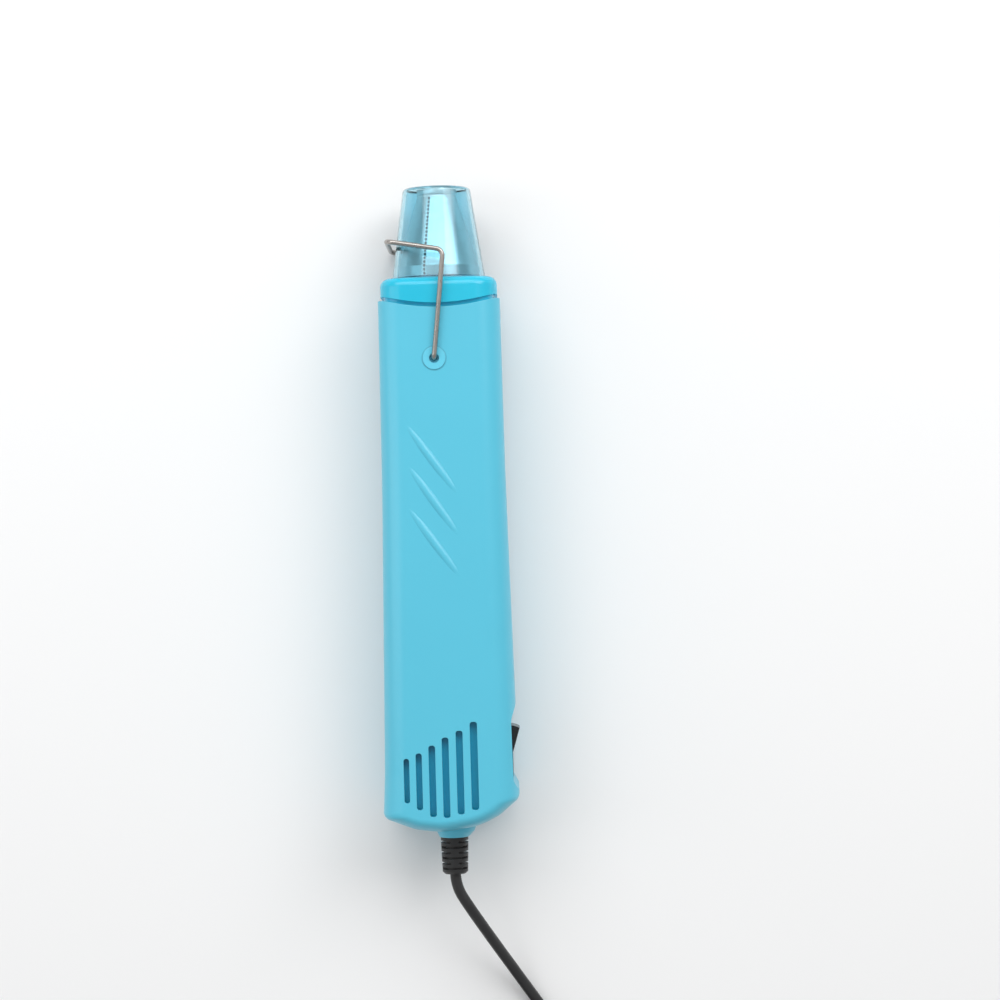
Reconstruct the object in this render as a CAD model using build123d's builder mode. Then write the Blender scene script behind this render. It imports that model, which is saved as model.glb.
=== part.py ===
from build123d import *
import math
import os

os.makedirs("parts", exist_ok=True)

# Millimetres. +Y runs along the tool towards the nozzle, +X towards the switch side, +Z up.
# The tool lies on its broad side: on the rear edge of the lower shell and on the lower stand leg.

# ------------------------------------------------------------------ driving dimensions
AXIS_Z = 22.65          # height of the tool's axis above the surface it lies on
HALF_0 = 21.04          # half thickness of the body at Y = 0
TAPER = 0.01428         # half thickness lost per millimetre towards the nose
ROUND = 9.0             # rounding between the broad faces and the sides
WALL = 2.2              # shell wall
SEAM_Y = 87.7           # front rim of the shells at the sides
SEAM_SAG = 2.9          # how far the rim dips at the middle of the broad faces
SEAM_GAP = 1.6          # groove between the rim and the collar
GROOVE = 0.22           # depth and half width of the groove where the shells meet
TAIL_Y = -117.7         # end of the boss round the cord
EXIT_Y = -131.9         # end of the strain relief, where the cord leaves

COLLAR_W, COLLAR_T, COLLAR_R = 44.6, 38.8, 9.6
COLLAR_Y = 96.5         # front of the collar
NECK_W, NECK_T, NECK_R = 41.6, 34.8, 6.2
NECK_Y = 76.5
GUARD_R0, GUARD_R1, GUARD_Y = 17.9, 12.9, 131.5
GUARD_WALL = 1.5

CONE_R0, CONE_R1 = 15.5, 7.4
CONE_Y0, CONE_Y1, CONE_Y2, TIP_Y = 88.0, 101.0, 128.4, 131.3
OUTLET_R = 6.9
SHEET = 0.6

BARREL_R, BARREL_Y0, BARREL_Y1 = 14.8, 10.6, 94.0

PIVOT = (-2.2, 65.4)    # stand pivot on both broad faces
PIVOT_RING_R, PIVOT_RING_H = 4.3, 0.4
PIVOT_MOUTH_R, PIVOT_BORE_R = 1.85, 1.03
WIRE_R = 0.95
WIRE_Z = AXIS_Z - WIRE_R        # height of a leg's centre line above or below the axis
WIRE_CORNER = (2.3, 106.2)
WIRE_BAR = (-18.9, 109.7)

RECESS_X = 23.0
ROCKER_PIN = (21.5, -85.2)
ROCKER_R = 10.15
ROCKER_HALF_Z = 6.0

CORD_R = 2.1


def half(y):
    """Half thickness of the body at Y."""
    return HALF_0 - TAPER * y


# ------------------------------------------------------------------ body outline
# Seen from above, anticlockwise from the nose end of the left side. Each corner: x, y, radius.
CORNERS = [
    (-23.15, 106.0, 3.2),
    (-23.5, 20.0, 2600.0),
    (-25.5, -92.0, 120.0),
    (-26.4, -108.3, 3.5),
    (-14.3, -113.0, 18.0),
    (-3.3, -114.4, 30.0),
    (10.5, -112.0, 24.0),
    (17.6, -108.5, 15.0),
    (25.5, -101.9, 4.2),
    (23.5, 20.0, 2600.0),
    (23.15, 106.0, 3.2),
]
# How far the rounding carries each side of the outline inwards at the broad face.
# Side i runs from corner i to corner i + 1; the last one is the front.
CARRY = [9.0, 9.0, 9.0, 5.0, 5.0, 5.0, 5.0, 5.4, 9.0, 9.0, 4.0]


def outline_edges(inset, share):
    """Lines and arcs of the outline, moved inwards by inset plus share of each side's carry."""
    n = len(CORNERS)
    moved = []
    for i in range(n):
        ax, ay, _ = CORNERS[i]
        bx, by, _ = CORNERS[(i + 1) % n]
        length = math.hypot(bx - ax, by - ay)
        ux, uy = (bx - ax) / length, (by - ay) / length
        d = inset + share * CARRY[i]
        # the inside is on the left of each side
        moved.append((ax - uy * d, ay + ux * d, ux, uy))
    points = []
    for i in range(n):
        px, py, pu, pv = moved[i - 1]
        qx, qy, qu, qv = moved[i]
        cross = pu * qv - pv * qu
        t = ((qx - px) * qv - (qy - py) * qu) / cross
        points.append((px + pu * t, py + pv * t))
    marks = []
    for i in range(n):
        _, _, pu, pv = moved[i - 1]
        _, _, qu, qv = moved[i]
        turn = math.atan2(pu * qv - pv * qu, pu * qu + pv * qv)
        carry = 0.5 * (CARRY[i - 1] + CARRY[i])
        radius = max(CORNERS[i][2] - inset - share * carry, 0.62 * min(CORNERS[i][2], 9.0) - 0.3 * inset)
        reach = radius * math.tan(abs(turn) / 2)
        x, y = points[i]
        start = (x - pu * reach, y - pv * reach)
        end = (x + qu * reach, y + qv * reach)
        bisector = math.hypot(qu - pu, qv - pv)
        bulge = radius / math.cos(turn / 2) - radius
        middle = (x + (qu - pu) / bisector * bulge, y + (qv - pv) / bisector * bulge)
        marks.append((start, middle, end))
    return marks


def half_solid(sign, inset):
    """One half of the body, split on its middle plane: straight sides, then a rounding up to the broad face."""
    flat = HALF_0 - ROUND
    radius = ROUND - inset
    steps = 8
    # each level: height, further inset, share of the carry; the outside has a fine groove on the parting plane
    groove = GROOVE if inset == 0.0 else 0.0
    lip = [(0.0, groove, 0.0), (GROOVE, 0.0, 0.0)]
    straight = [(GROOVE, 0.0, 0.0), (flat, 0.0, 0.0)]
    rounding = []
    for k in range(steps + 1):
        a = math.pi / 2 * k / steps
        rounding.append((flat + radius * math.sin(a), 0.0, (1 - math.cos(a)) * radius / ROUND))
    with BuildPart() as body:
        for levels in (lip, straight, rounding):
            for h, more, share in levels:
                # each level keeps its share of the taper
                plane = Plane(
                    origin=(0, 0, AXIS_Z + h * sign),
                    x_dir=(1, 0, 0),
                    z_dir=(0, TAPER * h / HALF_0 * sign, 1),
                )
                with BuildSketch(plane):
                    marks = outline_edges(inset + more, share)
                    with BuildLine():
                        for i, (start, middle, end) in enumerate(marks):
                            ThreePointArc(start, middle, end)
                            Line(end, marks[(i + 1) % len(marks)][0])
                    make_face()
            loft(ruled=len(levels) == 2)
    return body.part


outer_up, outer_down = half_solid(1, 0.0), half_solid(-1, 0.0)
middle_up, middle_down = half_solid(1, 1.1), half_solid(-1, 1.1)
cavity_up, cavity_down = half_solid(1, WALL), half_solid(-1, WALL)

# ------------------------------------------------------------------ shared cutters
# Everything in front of the seam, with its rim dipping at the middle of the broad faces.


def ahead_of_seam(shift):
    """Block of everything in front of the smile-shaped seam, moved forwards by shift."""
    with BuildPart() as block:
        with BuildSketch(Plane.XY.offset(-10)):
            with BuildLine():
                y_side, y_mid = SEAM_Y + shift, SEAM_Y - SEAM_SAG + shift
                ThreePointArc((-21, y_side), (0, y_mid), (21, y_side))
                Polyline((21, y_side), (40, y_side + 1.2), (40, 150), (-40, 150), (-40, y_side + 1.2), (-21, y_side))
            make_face()
        extrude(amount=80)
    return block.part


ahead = ahead_of_seam(0.0)

# Finger recess for the switch: one scoop through the full thickness of the +X side.
with BuildPart() as scoop:
    with BuildSketch(Plane.XY.offset(-10)):
        with BuildLine():
            Polyline((25.6, -98.9), (40, -99.4), (40, -64.2), (25.1, -64.2))
            Spline((25.1, -64.2), (24.5, -67.6), (23.35, -71.0), (RECESS_X, -74.2), tangents=[(-0.1, -1), (0, -1)])
            Line((RECESS_X, -74.2), (23.3, -94.2))
            Spline((23.3, -94.2), (24.25, -97.0), (25.6, -98.9), tangents=[(0.02, -1), (0.8, -1)])
        make_face()
    extrude(amount=80)

# Wall kept behind the recess.
with BuildPart() as recess_wall:
    with BuildSketch(Plane.XY.offset(-10)):
        with BuildLine():
            Polyline((20.7, -62.5), (30, -62.5), (30, -104), (20.7, -104), (20.7, -62.5))
        make_face()
    extrude(amount=80)

# Opening for the rocker.
with BuildPart() as rocker_window:
    with BuildSketch(Plane(origin=(18, ROCKER_PIN[1], AXIS_Z), x_dir=(0, 1, 0), z_dir=(1, 0, 0))):
        RectangleRounded(2 * ROCKER_R + 0.7, 2 * ROCKER_HALF_Z + 0.7, 0.8)
    extrude(amount=14)

# Vent slots: x, rear end, front end, width.
VENTS = [
    (-16.9, -102.1, -85.3, 2.1),
    (-12.2, -104.8, -83.4, 2.3),
    (-7.2, -107.5, -80.6, 2.5),
    (-2.1, -108.0, -77.7, 2.55),
    (3.25, -106.8, -75.3, 2.6),
    (8.7, -105.3, -72.1, 2.75),
]
with BuildPart() as vents:
    with BuildSketch(Plane.XY.offset(-10)):
        for x, y0, y1, width in VENTS:
            with Locations((x, (y0 + y1) / 2)):
                RectangleRounded(width, y1 - y0, 1.0)
    extrude(amount=80)

# Guard plate that each shell carries on short pegs under its vents, so that nothing live is in reach.
# Air passes all round it.
GUARD_PLATE_Z, GUARD_PLATE_T = 17.0, 1.2
GUARD_PLATE = [
    (-19.6, -83.6), (-19.6, -102.6), (-14.6, -105.6), (-9.6, -108.4), (-4.6, -109.2), (0.6, -109.1),
    (6.0, -108.0), (11.4, -106.4), (11.4, -70.4), (5.9, -70.4), (-14.6, -81.8),
]
GUARD_PEGS = [
    (-14.55, -87.5), (-14.55, -101.0), (-9.7, -85.0), (-9.7, -103.6), (-4.65, -81.8), (-4.65, -105.6),
    (0.6, -78.5), (0.6, -92.5), (0.6, -105.6), (6.0, -75.6), (6.0, -89.0), (6.0, -104.2),
]

# Leaf ridges: two ends of each; the same on both broad faces.
LEAVES = [
    ((-13.36, 40.18), (4.95, 14.33)),
    ((-12.97, 24.61), (5.14, -1.63)),
    ((-13.26, 8.65), (5.24, -17.29)),
]
LEAF_H, LEAF_HALF_W = 0.62, 1.6


def leaf(sign, a, b):
    """A lens-shaped ridge: the cap of a spindle that lies just under the broad face."""
    big = (LEAF_HALF_W**2 + LEAF_H**2) / (2 * LEAF_H)
    sunk = big - LEAF_H
    length = math.hypot(b[0] - a[0], b[1] - a[1])
    middle = ((a[0] + b[0]) / 2, (a[1] + b[1]) / 2)
    dz = -(half(b[1]) - half(a[1]))
    along = Vector(b[0] - a[0], b[1] - a[1], (half(b[1]) - half(a[1])) * sign).normalized()
    centre = (middle[0], middle[1], AXIS_Z + sign * (half(middle[1]) - sunk))
    plane = Plane(origin=centre, x_dir=along, z_dir=Vector(0, 0, 1).cross(along))
    with BuildPart() as ridge:
        with BuildSketch(plane):
            with BuildLine():
                ThreePointArc((-length / 2, sunk), (0, big), (length / 2, sunk))
                Polyline((length / 2, sunk), (length / 2, 0), (-length / 2, 0), (-length / 2, sunk))
            make_face()
        revolve(axis=Axis(centre, along))
    return ridge.part


# ------------------------------------------------------------------ inner ribs and screw columns
SCREWS = [(17.9, 58.0), (-17.9, 58.0), (19.2, -49.0), (-19.2, -49.0)]
COLUMN_R = 2.7


def inner_ribs(sign):
    """Ribs and columns of one shell, still reaching through its wall; clipped to the shell later."""
    far = AXIS_Z + sign * 30
    low = AXIS_Z
    with BuildPart() as ribs:
        # a thin rib plate across, with a round cradle for what it carries
        for y, thick, radius, width in (
            (-59.0, 3.4, 16.6, 27.0),     # rear motor damper
            (-40.5, 3.4, 16.6, 27.0),     # front motor damper
            (-36.0, 1.4, 18.75, 26.0),    # behind the duct's flange
            (-32.0, 1.4, 18.75, 26.0),    # in front of the duct's flange
            (8.6, 1.3, 16.3, 30.0),       # behind the two flanges
            (12.5, 1.5, 15.1, 30.0),      # in front of the two flanges
            (74.8, 1.4, 15.1, 34.0),      # stop behind the guard's neck
        ):
            with BuildSketch(Plane(origin=(0, y + thick / 2, AXIS_Z), x_dir=(1, 0, 0), z_dir=(0, -1, 0))):
                with Locations((0, sign * 15)):
                    Rectangle(width, 30)
                Circle(radius, mode=Mode.SUBTRACT)
            extrude(amount=thick)
        # posts that hold the switch housing from above or below
        with BuildSketch(Plane.XY.offset(AXIS_Z + (8.75 if sign > 0 else -30))):
            with Locations((14.5, ROCKER_PIN[1])):
                Rectangle(1.6, 14)
                Rectangle(9, 1.6)
        extrude(amount=30 - 8.75)
        # pivot boss inside the wall
        with BuildSketch(Plane.XY.offset(AXIS_Z + (15.7 if sign > 0 else -30))):
            with Locations(PIVOT):
                Circle(3.6)
        extrude(amount=30 - 15.7)
        # screw columns, meeting on the parting plane
        with BuildSketch(Plane.XY.offset(AXIS_Z if sign > 0 else AXIS_Z - 30)):
            with Locations(*SCREWS):
                Circle(COLUMN_R)
        extrude(amount=30)
        if sign < 0:
            with BuildSketch(Plane.XY.offset(AXIS_Z - 30)):
                with Locations(*SCREWS):
                    Circle(4.1)
            extrude(amount=30 - 12.6)
    return ribs.part


def vent_guard(sign):
    """Plate under the vents of one shell, and its pegs, still reaching through the wall."""
    with BuildPart() as guard:
        with BuildSketch(Plane.XY.offset(AXIS_Z + (GUARD_PLATE_Z if sign > 0 else -GUARD_PLATE_Z - GUARD_PLATE_T))):
            with BuildLine():
                Polyline(*GUARD_PLATE, GUARD_PLATE[0])
            make_face()
        extrude(amount=GUARD_PLATE_T)
        with BuildSketch(Plane.XY.offset(AXIS_Z + (GUARD_PLATE_Z + 0.5 if sign > 0 else -30))):
            with Locations(*GUARD_PEGS):
                Rectangle(1.3, 5.0)
        extrude(amount=30 - GUARD_PLATE_Z - 0.5)
    return guard.part


tail_boss_plane = Plane(origin=(0.6, -113.0, AXIS_Z), x_dir=(1, 0, 0), z_dir=(0, -1, 0))


def tail_boss():
    """Short cone of the shell round the strain relief."""
    with BuildPart() as boss:
        with BuildSketch(tail_boss_plane):
            Circle(8.2)
        with BuildSketch(tail_boss_plane.offset(2.5)):
            Circle(7.3)
        with BuildSketch(Plane(origin=(0, TAIL_Y, AXIS_Z), x_dir=(1, 0, 0), z_dir=(0, -1, 0))):
            Circle(5.75)
        loft(ruled=True)
    return boss.part


def make_shell(sign, outer, middle, cavity, label):
    shown = AXIS_Z if sign > 0 else AXIS_Z - 40
    with BuildPart() as hollow:
        add(cavity)
        add(recess_wall.part, mode=Mode.SUBTRACT)
    with BuildPart() as ribs:
        add(inner_ribs(sign))
        add(middle, mode=Mode.INTERSECT)
    with BuildPart() as plate:
        add(vent_guard(sign))
        add(middle, mode=Mode.INTERSECT)
    with BuildPart() as half_boss:
        add(tail_boss())
        with BuildSketch(Plane.XY.offset(shown)):
            Rectangle(80, 400)
        extrude(amount=40, mode=Mode.INTERSECT)
    with BuildPart() as shell:
        add(outer)
        add(half_boss.part)
        for a, b in LEAVES:
            add(leaf(sign, a, b))
        # raised ring round the pivot
        with BuildSketch(Plane.XY.offset(AXIS_Z + sign * (half(PIVOT[1]) + PIVOT_RING_H - 2.0) + (0 if sign > 0 else -2.0))):
            with Locations(PIVOT):
                Circle(PIVOT_RING_R)
        extrude(amount=2.0)
        add(hollow.part, mode=Mode.SUBTRACT)
        add(ribs.part)
        add(ahead, mode=Mode.SUBTRACT)
        add(scoop.part, mode=Mode.SUBTRACT)
        add(rocker_window.part, mode=Mode.SUBTRACT)
        add(vents.part, mode=Mode.SUBTRACT)
        add(plate.part)
        # pivot hole, wider at its mouth
        with BuildSketch(Plane.XY.offset(AXIS_Z - 30)):
            with Locations(PIVOT):
                Circle(PIVOT_BORE_R)
        extrude(amount=60, mode=Mode.SUBTRACT)
        with BuildSketch(Plane.XY.offset(AXIS_Z + (18.6 if sign > 0 else -30))):
            with Locations(PIVOT):
                Circle(PIVOT_MOUTH_R)
        extrude(amount=30 - 18.6, mode=Mode.SUBTRACT)
        # hole for the strain relief
        with BuildSketch(Plane(origin=(0, -105, AXIS_Z), x_dir=(1, 0, 0), z_dir=(0, -1, 0))):
            Circle(4.25)
        extrude(amount=30, mode=Mode.SUBTRACT)
        with BuildSketch(Plane(origin=(0, -105, AXIS_Z), x_dir=(1, 0, 0), z_dir=(0, -1, 0))):
            Circle(6.4)
        extrude(amount=9.7, mode=Mode.SUBTRACT)
        if sign > 0:
            # blind pilot holes for the screws
            with BuildSketch(Plane.XY.offset(AXIS_Z - 1)):
                with Locations(*SCREWS):
                    Circle(1.46)
            extrude(amount=11.5, mode=Mode.SUBTRACT)
        else:
            with BuildSketch(Plane.XY.offset(AXIS_Z - 30)):
                with Locations(*SCREWS):
                    Circle(1.7)
            extrude(amount=31, mode=Mode.SUBTRACT)
            with BuildSketch(Plane.XY.offset(AXIS_Z - 30)):
                with Locations(*SCREWS):
                    Circle(3.0)
            extrude(amount=30 - 14.0, mode=Mode.SUBTRACT)
    shell.part.label = label
    print(label, len(shell.part.solids()), round(shell.part.volume), shell.part.is_valid)
    export_step(shell.part, f"parts/{label}.step")
    return shell.part


shell_upper = make_shell(1, outer_up, middle_up, cavity_up, "shell_upper")
shell_lower = make_shell(-1, outer_down, middle_down, cavity_down, "shell_lower")

# ------------------------------------------------------------------ shell screws
with BuildPart() as shell_screws:
    with BuildSketch(Plane.XY.offset(AXIS_Z - 14.5)):
        with Locations(*SCREWS):
            Circle(1.45)
    extrude(amount=24.6)
    with BuildSketch(Plane.XY.offset(AXIS_Z - 16.2)):
        with Locations(*SCREWS):
            Circle(2.75)
    extrude(amount=2.2)
    fillet(shell_screws.faces().filter_by(Axis.Z).group_by(Axis.Z)[0].edges(), radius=0.7)
    with BuildSketch(Plane.XY.offset(AXIS_Z - 16.2)):
        with Locations(*SCREWS):
            Rectangle(3.2, 0.7)
            Rectangle(0.7, 3.2)
    extrude(amount=1.1, mode=Mode.SUBTRACT)
shell_screws.part.label = "shell_screws"
export_step(shell_screws.part, "parts/shell_screws.step")


def across(y):
    """Plane across the tool's axis at Y, its sketch seen from behind: sketch x is X, sketch y is Z."""
    return Plane(origin=(0, y, AXIS_Z), x_dir=(1, 0, 0), z_dir=(0, -1, 0))


# Plane through the axis for turned profiles: sketch x is the radius, sketch y runs towards the nozzle.
TURN = Plane(origin=(0, 0, AXIS_Z), x_dir=(1, 0, 0), z_dir=(0, 0, 1))
TURN_AXIS = Axis((0, 0, AXIS_Z), (0, 1, 0))

# ------------------------------------------------------------------ nose guard
with BuildPart() as collar_block:
    with BuildSketch(across(COLLAR_Y)):
        RectangleRounded(COLLAR_W, COLLAR_T, COLLAR_R)
    extrude(amount=COLLAR_Y - 80)
    fillet(collar_block.faces().sort_by(Axis.Y)[-1].edges(), radius=3.4)
    add(ahead_of_seam(SEAM_GAP), mode=Mode.INTERSECT)

with BuildPart() as nose_guard:
    add(collar_block.part)
    with BuildSketch(across(92)):
        RectangleRounded(NECK_W, NECK_T, NECK_R)
    extrude(amount=92 - NECK_Y)
    with BuildSketch(TURN):
        with BuildLine():
            Polyline(
                (0, 90), (GUARD_R0 + 0.25, 90), (GUARD_R0 + 0.1, COLLAR_Y + 0.2), (GUARD_R1 + 0.22, GUARD_Y - 1.5),
            )
            ThreePointArc((GUARD_R1 + 0.22, GUARD_Y - 1.5), (GUARD_R1 - 0.22, GUARD_Y - 0.4), (GUARD_R1 - 1.2, GUARD_Y))
            Polyline((GUARD_R1 - 1.2, GUARD_Y), (0, GUARD_Y), (0, 90))
        make_face()
    revolve(axis=TURN_AXIS)
    # hollow of the collar and neck, then the round inside of the cone
    with BuildSketch(across(94.2)):
        RectangleRounded(NECK_W - 3.2, NECK_T - 3.2, NECK_R - 1.6)
    extrude(amount=30, mode=Mode.SUBTRACT)
    with BuildSketch(TURN):
        with BuildLine():
            Polyline(
                (0, 80), (CONE_R0 + 0.12, 80), (CONE_R0 + 0.12, 96.4), (GUARD_R0 - GUARD_WALL, 97.0),
                (GUARD_R1 - GUARD_WALL, GUARD_Y + 0.5), (0, GUARD_Y + 0.5), (0, 80),
            )
        make_face()
    revolve(axis=TURN_AXIS, mode=Mode.SUBTRACT)
nose_guard.part.label = "nose_guard"
export_step(nose_guard.part, "parts/nose_guard.step")

# ------------------------------------------------------------------ nozzle cone
with BuildPart() as nozzle_cone:
    with BuildSketch(TURN):
        with BuildLine():
            Polyline(
                (CONE_R0 - SHEET, CONE_Y0), (CONE_R0, CONE_Y0), (CONE_R0, CONE_Y1), (CONE_R1, CONE_Y2),
                (CONE_R1 + 0.2, CONE_Y2 + 0.7), (CONE_R1 + 0.2, TIP_Y - 0.4), (CONE_R1 - 0.1, TIP_Y), (OUTLET_R, TIP_Y),
                (OUTLET_R, CONE_Y2), (CONE_R0 - SHEET, CONE_Y1), (CONE_R0 - SHEET, CONE_Y0),
            )
        make_face()
    revolve(axis=TURN_AXIS)
nozzle_cone.part.label = "nozzle_cone"
export_step(nozzle_cone.part, "parts/nozzle_cone.step")


def turned(label, *profiles):
    """A turned piece: each profile is a closed list of (radius, y)."""
    with BuildPart() as piece:
        for profile in profiles:
            with BuildSketch(TURN):
                with BuildLine():
                    Polyline(*profile, profile[0])
                make_face()
            revolve(axis=TURN_AXIS)
    piece.part.label = label
    export_step(piece.part, f"parts/{label}.step")
    return piece.part


def ring(r_in, r_out, y0, y1):
    return [(r_in, y0), (r_out, y0), (r_out, y1), (r_in, y1)]


# ------------------------------------------------------------------ heater
heater_barrel = turned(
    "heater_barrel",
    [(BARREL_R - 0.5, BARREL_Y0), (17.4, BARREL_Y0), (17.4, BARREL_Y0 + 1.0), (BARREL_R, BARREL_Y0 + 1.0),
     (BARREL_R, BARREL_Y1), (BARREL_R - 0.5, BARREL_Y1)],
)
mica_sleeve = turned("mica_sleeve", ring(13.6, 14.15, 14.0, 93.0))

COIL_R, COIL_WIRE_R, COIL_PITCH, COIL_TURNS, COIL_Y0 = 11.9, 0.85, 8.0, 7.25, 31.0
with BuildPart() as mica_cross:
    with BuildSketch(across(92.5)):
        Rectangle(26.4, 0.8)
        Rectangle(0.8, 26.4)
    extrude(amount=92.5 - 24.0)
    # notches that the heating coil sits in, a quarter pitch on from one edge to the next
    for k in range(4):
        angle = 90.0 - 90.0 * k
        for turn in range(8):
            y = COIL_Y0 + COIL_PITCH * (turn + k / 4)
            if y > COIL_Y0 + COIL_PITCH * COIL_TURNS + 1.0:
                continue
            a = math.radians(angle)
            centre = (math.cos(a) * 12.3, y, AXIS_Z + math.sin(a) * 12.3)
            with BuildSketch(Plane(origin=centre, x_dir=(math.cos(a), 0, math.sin(a)), z_dir=(-math.sin(a), 0, math.cos(a)))):
                Rectangle(2.7, 2.3)
            extrude(amount=2, both=True, mode=Mode.SUBTRACT)
mica_cross.part.label = "mica_cross"
export_step(mica_cross.part, "parts/mica_cross.step")

with BuildPart() as heating_coil:
    with BuildLine() as winding:
        Helix(pitch=COIL_PITCH, height=COIL_PITCH * COIL_TURNS, radius=COIL_R, center=(0, COIL_Y0, AXIS_Z), direction=(0, 1, 0))
    start = winding.line @ 0
    print("coil starts at", start)
    with BuildSketch(Plane(origin=start, z_dir=winding.line % 0)):
        Circle(COIL_WIRE_R)
    sweep(is_frenet=True)
heating_coil.part.label = "heating_coil"
export_step(heating_coil.part, "parts/heating_coil.step")

with BuildPart() as thermostat:
    with BuildSketch(Plane.XY.offset(AXIS_Z + 0.42)):
        with Locations((4.9, 33.0)):
            RectangleRounded(5.6, 13.0, 0.8)
    extrude(amount=4.4)
    with BuildSketch(Plane.XY.offset(AXIS_Z + 0.9)):
        with Locations((4.9, 24.0)):
            Rectangle(3.2, 6.0)
    extrude(amount=0.5)
thermostat.part.label = "thermostat"
export_step(thermostat.part, "parts/thermostat.step")

with BuildPart() as thermal_fuse:
    with BuildSketch(Plane(origin=(-4.6, 39.0, AXIS_Z + 2.6), x_dir=(1, 0, 0), z_dir=(0, -1, 0))):
        Circle(2.0)
    extrude(amount=11.0)
    with BuildSketch(Plane(origin=(-4.6, 44.0, AXIS_Z + 2.6), x_dir=(1, 0, 0), z_dir=(0, -1, 0))):
        Circle(0.4)
    extrude(amount=22.0)
thermal_fuse.part.label = "thermal_fuse"
export_step(thermal_fuse.part, "parts/thermal_fuse.step")

# ------------------------------------------------------------------ fan and its duct
SHAFT_R = 1.0
BUSH_BORE = SHAFT_R + 0.04
with BuildPart() as air_duct:
    with BuildSketch(TURN):
        with BuildLine():
            Polyline(
                (17.6, -36.5), (18.5, -36.5), (18.5, -34.6), (19.0, -34.6), (19.0, -33.4), (18.5, -33.4), (18.5, -15.0),
                (15.9, 5.0), (15.9, 9.3), (17.4, 9.3), (17.4, 10.5), (14.9, 10.5), (14.9, 5.0), (17.6, -15.4), (17.6, -36.5),
            )
        make_face()
    revolve(axis=TURN_AXIS)
    # two small holes that the heater leads pass through
    for side in (-1, 1):
        along = Vector(-side * 14.3, 0, -15).normalized()
        with BuildSketch(Plane(origin=(side * 14.3, 2.7, AXIS_Z + 15), z_dir=along)):
            Circle(2.1)
        extrude(amount=8.5, mode=Mode.SUBTRACT)
air_duct.part.label = "air_duct"
export_step(air_duct.part, "parts/air_duct.step")

with BuildPart() as blades:
    for k in range(7):
        a = math.radians(360 / 7 * k)
        out = Vector(math.cos(a), 0, math.sin(a))
        side = Vector(-math.sin(a), 0, math.cos(a))
        lean = math.radians(38)
        chord = Vector(0, 1, 0) * math.cos(lean) + side * math.sin(lean)
        centre = Vector(0, -25.8, AXIS_Z) + out * 3.6
        with BuildSketch(Plane(origin=centre, x_dir=chord, z_dir=out)):
            Rectangle(9.6, 1.1)
        extrude(amount=16)
    with BuildSketch(across(-10)):
        Circle(17.0)
        Circle(5.0, mode=Mode.SUBTRACT)
    extrude(amount=30, mode=Mode.INTERSECT)

with BuildPart() as fan_impeller:
    with BuildSketch(TURN):
        with BuildLine():
            Polyline((SHAFT_R, -31.0), (6.0, -31.0), (6.0, -20.6))
            ThreePointArc((6.0, -20.6), (4.9, -18.8), (2.6, -18.2))
            Polyline((2.6, -18.2), (SHAFT_R, -18.2), (SHAFT_R, -31.0))
        make_face()
    revolve(axis=TURN_AXIS)
    add(blades.part)
fan_impeller.part.label = "fan_impeller"
export_step(fan_impeller.part, "parts/fan_impeller.step")

# ------------------------------------------------------------------ motor
motor_can = turned(
    "motor_can",
    [(2.6, -37.0), (12.85, -37.0), (12.85, -66.0), (13.85, -66.0), (13.85, -36.0), (4.4, -36.0), (4.4, -34.2), (2.6, -34.2)],
)
motor_bushes = turned("motor_bushes", ring(BUSH_BORE, 2.58, -38.2, -34.0), ring(BUSH_BORE, 2.58, -69.6, -66.2))
motor_dampers = turned("motor_dampers", ring(13.86, 16.55, -62.0, -56.0), ring(13.86, 16.55, -43.5, -38.0))
motor_shaft = turned("motor_shaft", [(0, -69.9), (SHAFT_R, -69.9), (SHAFT_R, -19.6), (0, -19.6)])

with BuildPart() as motor_magnets:
    for mid in (0, 180):
        with BuildSketch(across(-42.0)):
            with BuildLine():
                pts = []
                for radius, sweep_dir in ((12.8, 1), (10.7, -1)):
                    a0, a1, a2 = (math.radians(mid + sweep_dir * d) for d in (-58, 0, 58))
                    pts.append([(radius * math.cos(a), radius * math.sin(a)) for a in (a0, a1, a2)])
                ThreePointArc(*pts[0])
                Line(pts[0][2], pts[1][0])
                ThreePointArc(*pts[1])
                Line(pts[1][2], pts[0][0])
            make_face()
        extrude(amount=20)
motor_magnets.part.label = "motor_magnets"
export_step(motor_magnets.part, "parts/motor_magnets.step")

with BuildPart() as motor_armature:
    # three-pole core
    with BuildSketch(across(-45.0)):
        Circle(9.9)
        with PolarLocations(7.4, 3, start_angle=30):
            Rectangle(6.2, 1.6, mode=Mode.SUBTRACT)
        with PolarLocations(5.4, 3, start_angle=30):
            Circle(2.4, mode=Mode.SUBTRACT)
        Circle(SHAFT_R, mode=Mode.SUBTRACT)
    extrude(amount=13.0)
    # end turns of the windings
    for y in (-43.0, -58.0):
        with BuildSketch(across(y)):
            Circle(7.4)
            Circle(SHAFT_R, mode=Mode.SUBTRACT)
        extrude(amount=2.0)
    # commutator
    with BuildSketch(across(-60.0)):
        Circle(3.0)
        Circle(SHAFT_R, mode=Mode.SUBTRACT)
    extrude(amount=4.6)
motor_armature.part.label = "motor_armature"
export_step(motor_armature.part, "parts/motor_armature.step")

with BuildPart() as motor_endcap:
    with BuildSketch(across(-66.1)):
        Circle(13.6)
    extrude(amount=1.8)
    with BuildSketch(across(-67.8)):
        Circle(4.6)
    extrude(amount=2.0)
    with BuildSketch(across(-62.6)):
        Circle(12.7)
        Circle(11.3, mode=Mode.SUBTRACT)
    extrude(amount=3.6)
    with BuildSketch(across(-66.0)):
        Circle(2.6)
    extrude(amount=6, mode=Mode.SUBTRACT)
motor_endcap.part.label = "motor_endcap"
export_step(motor_endcap.part, "parts/motor_endcap.step")

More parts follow.
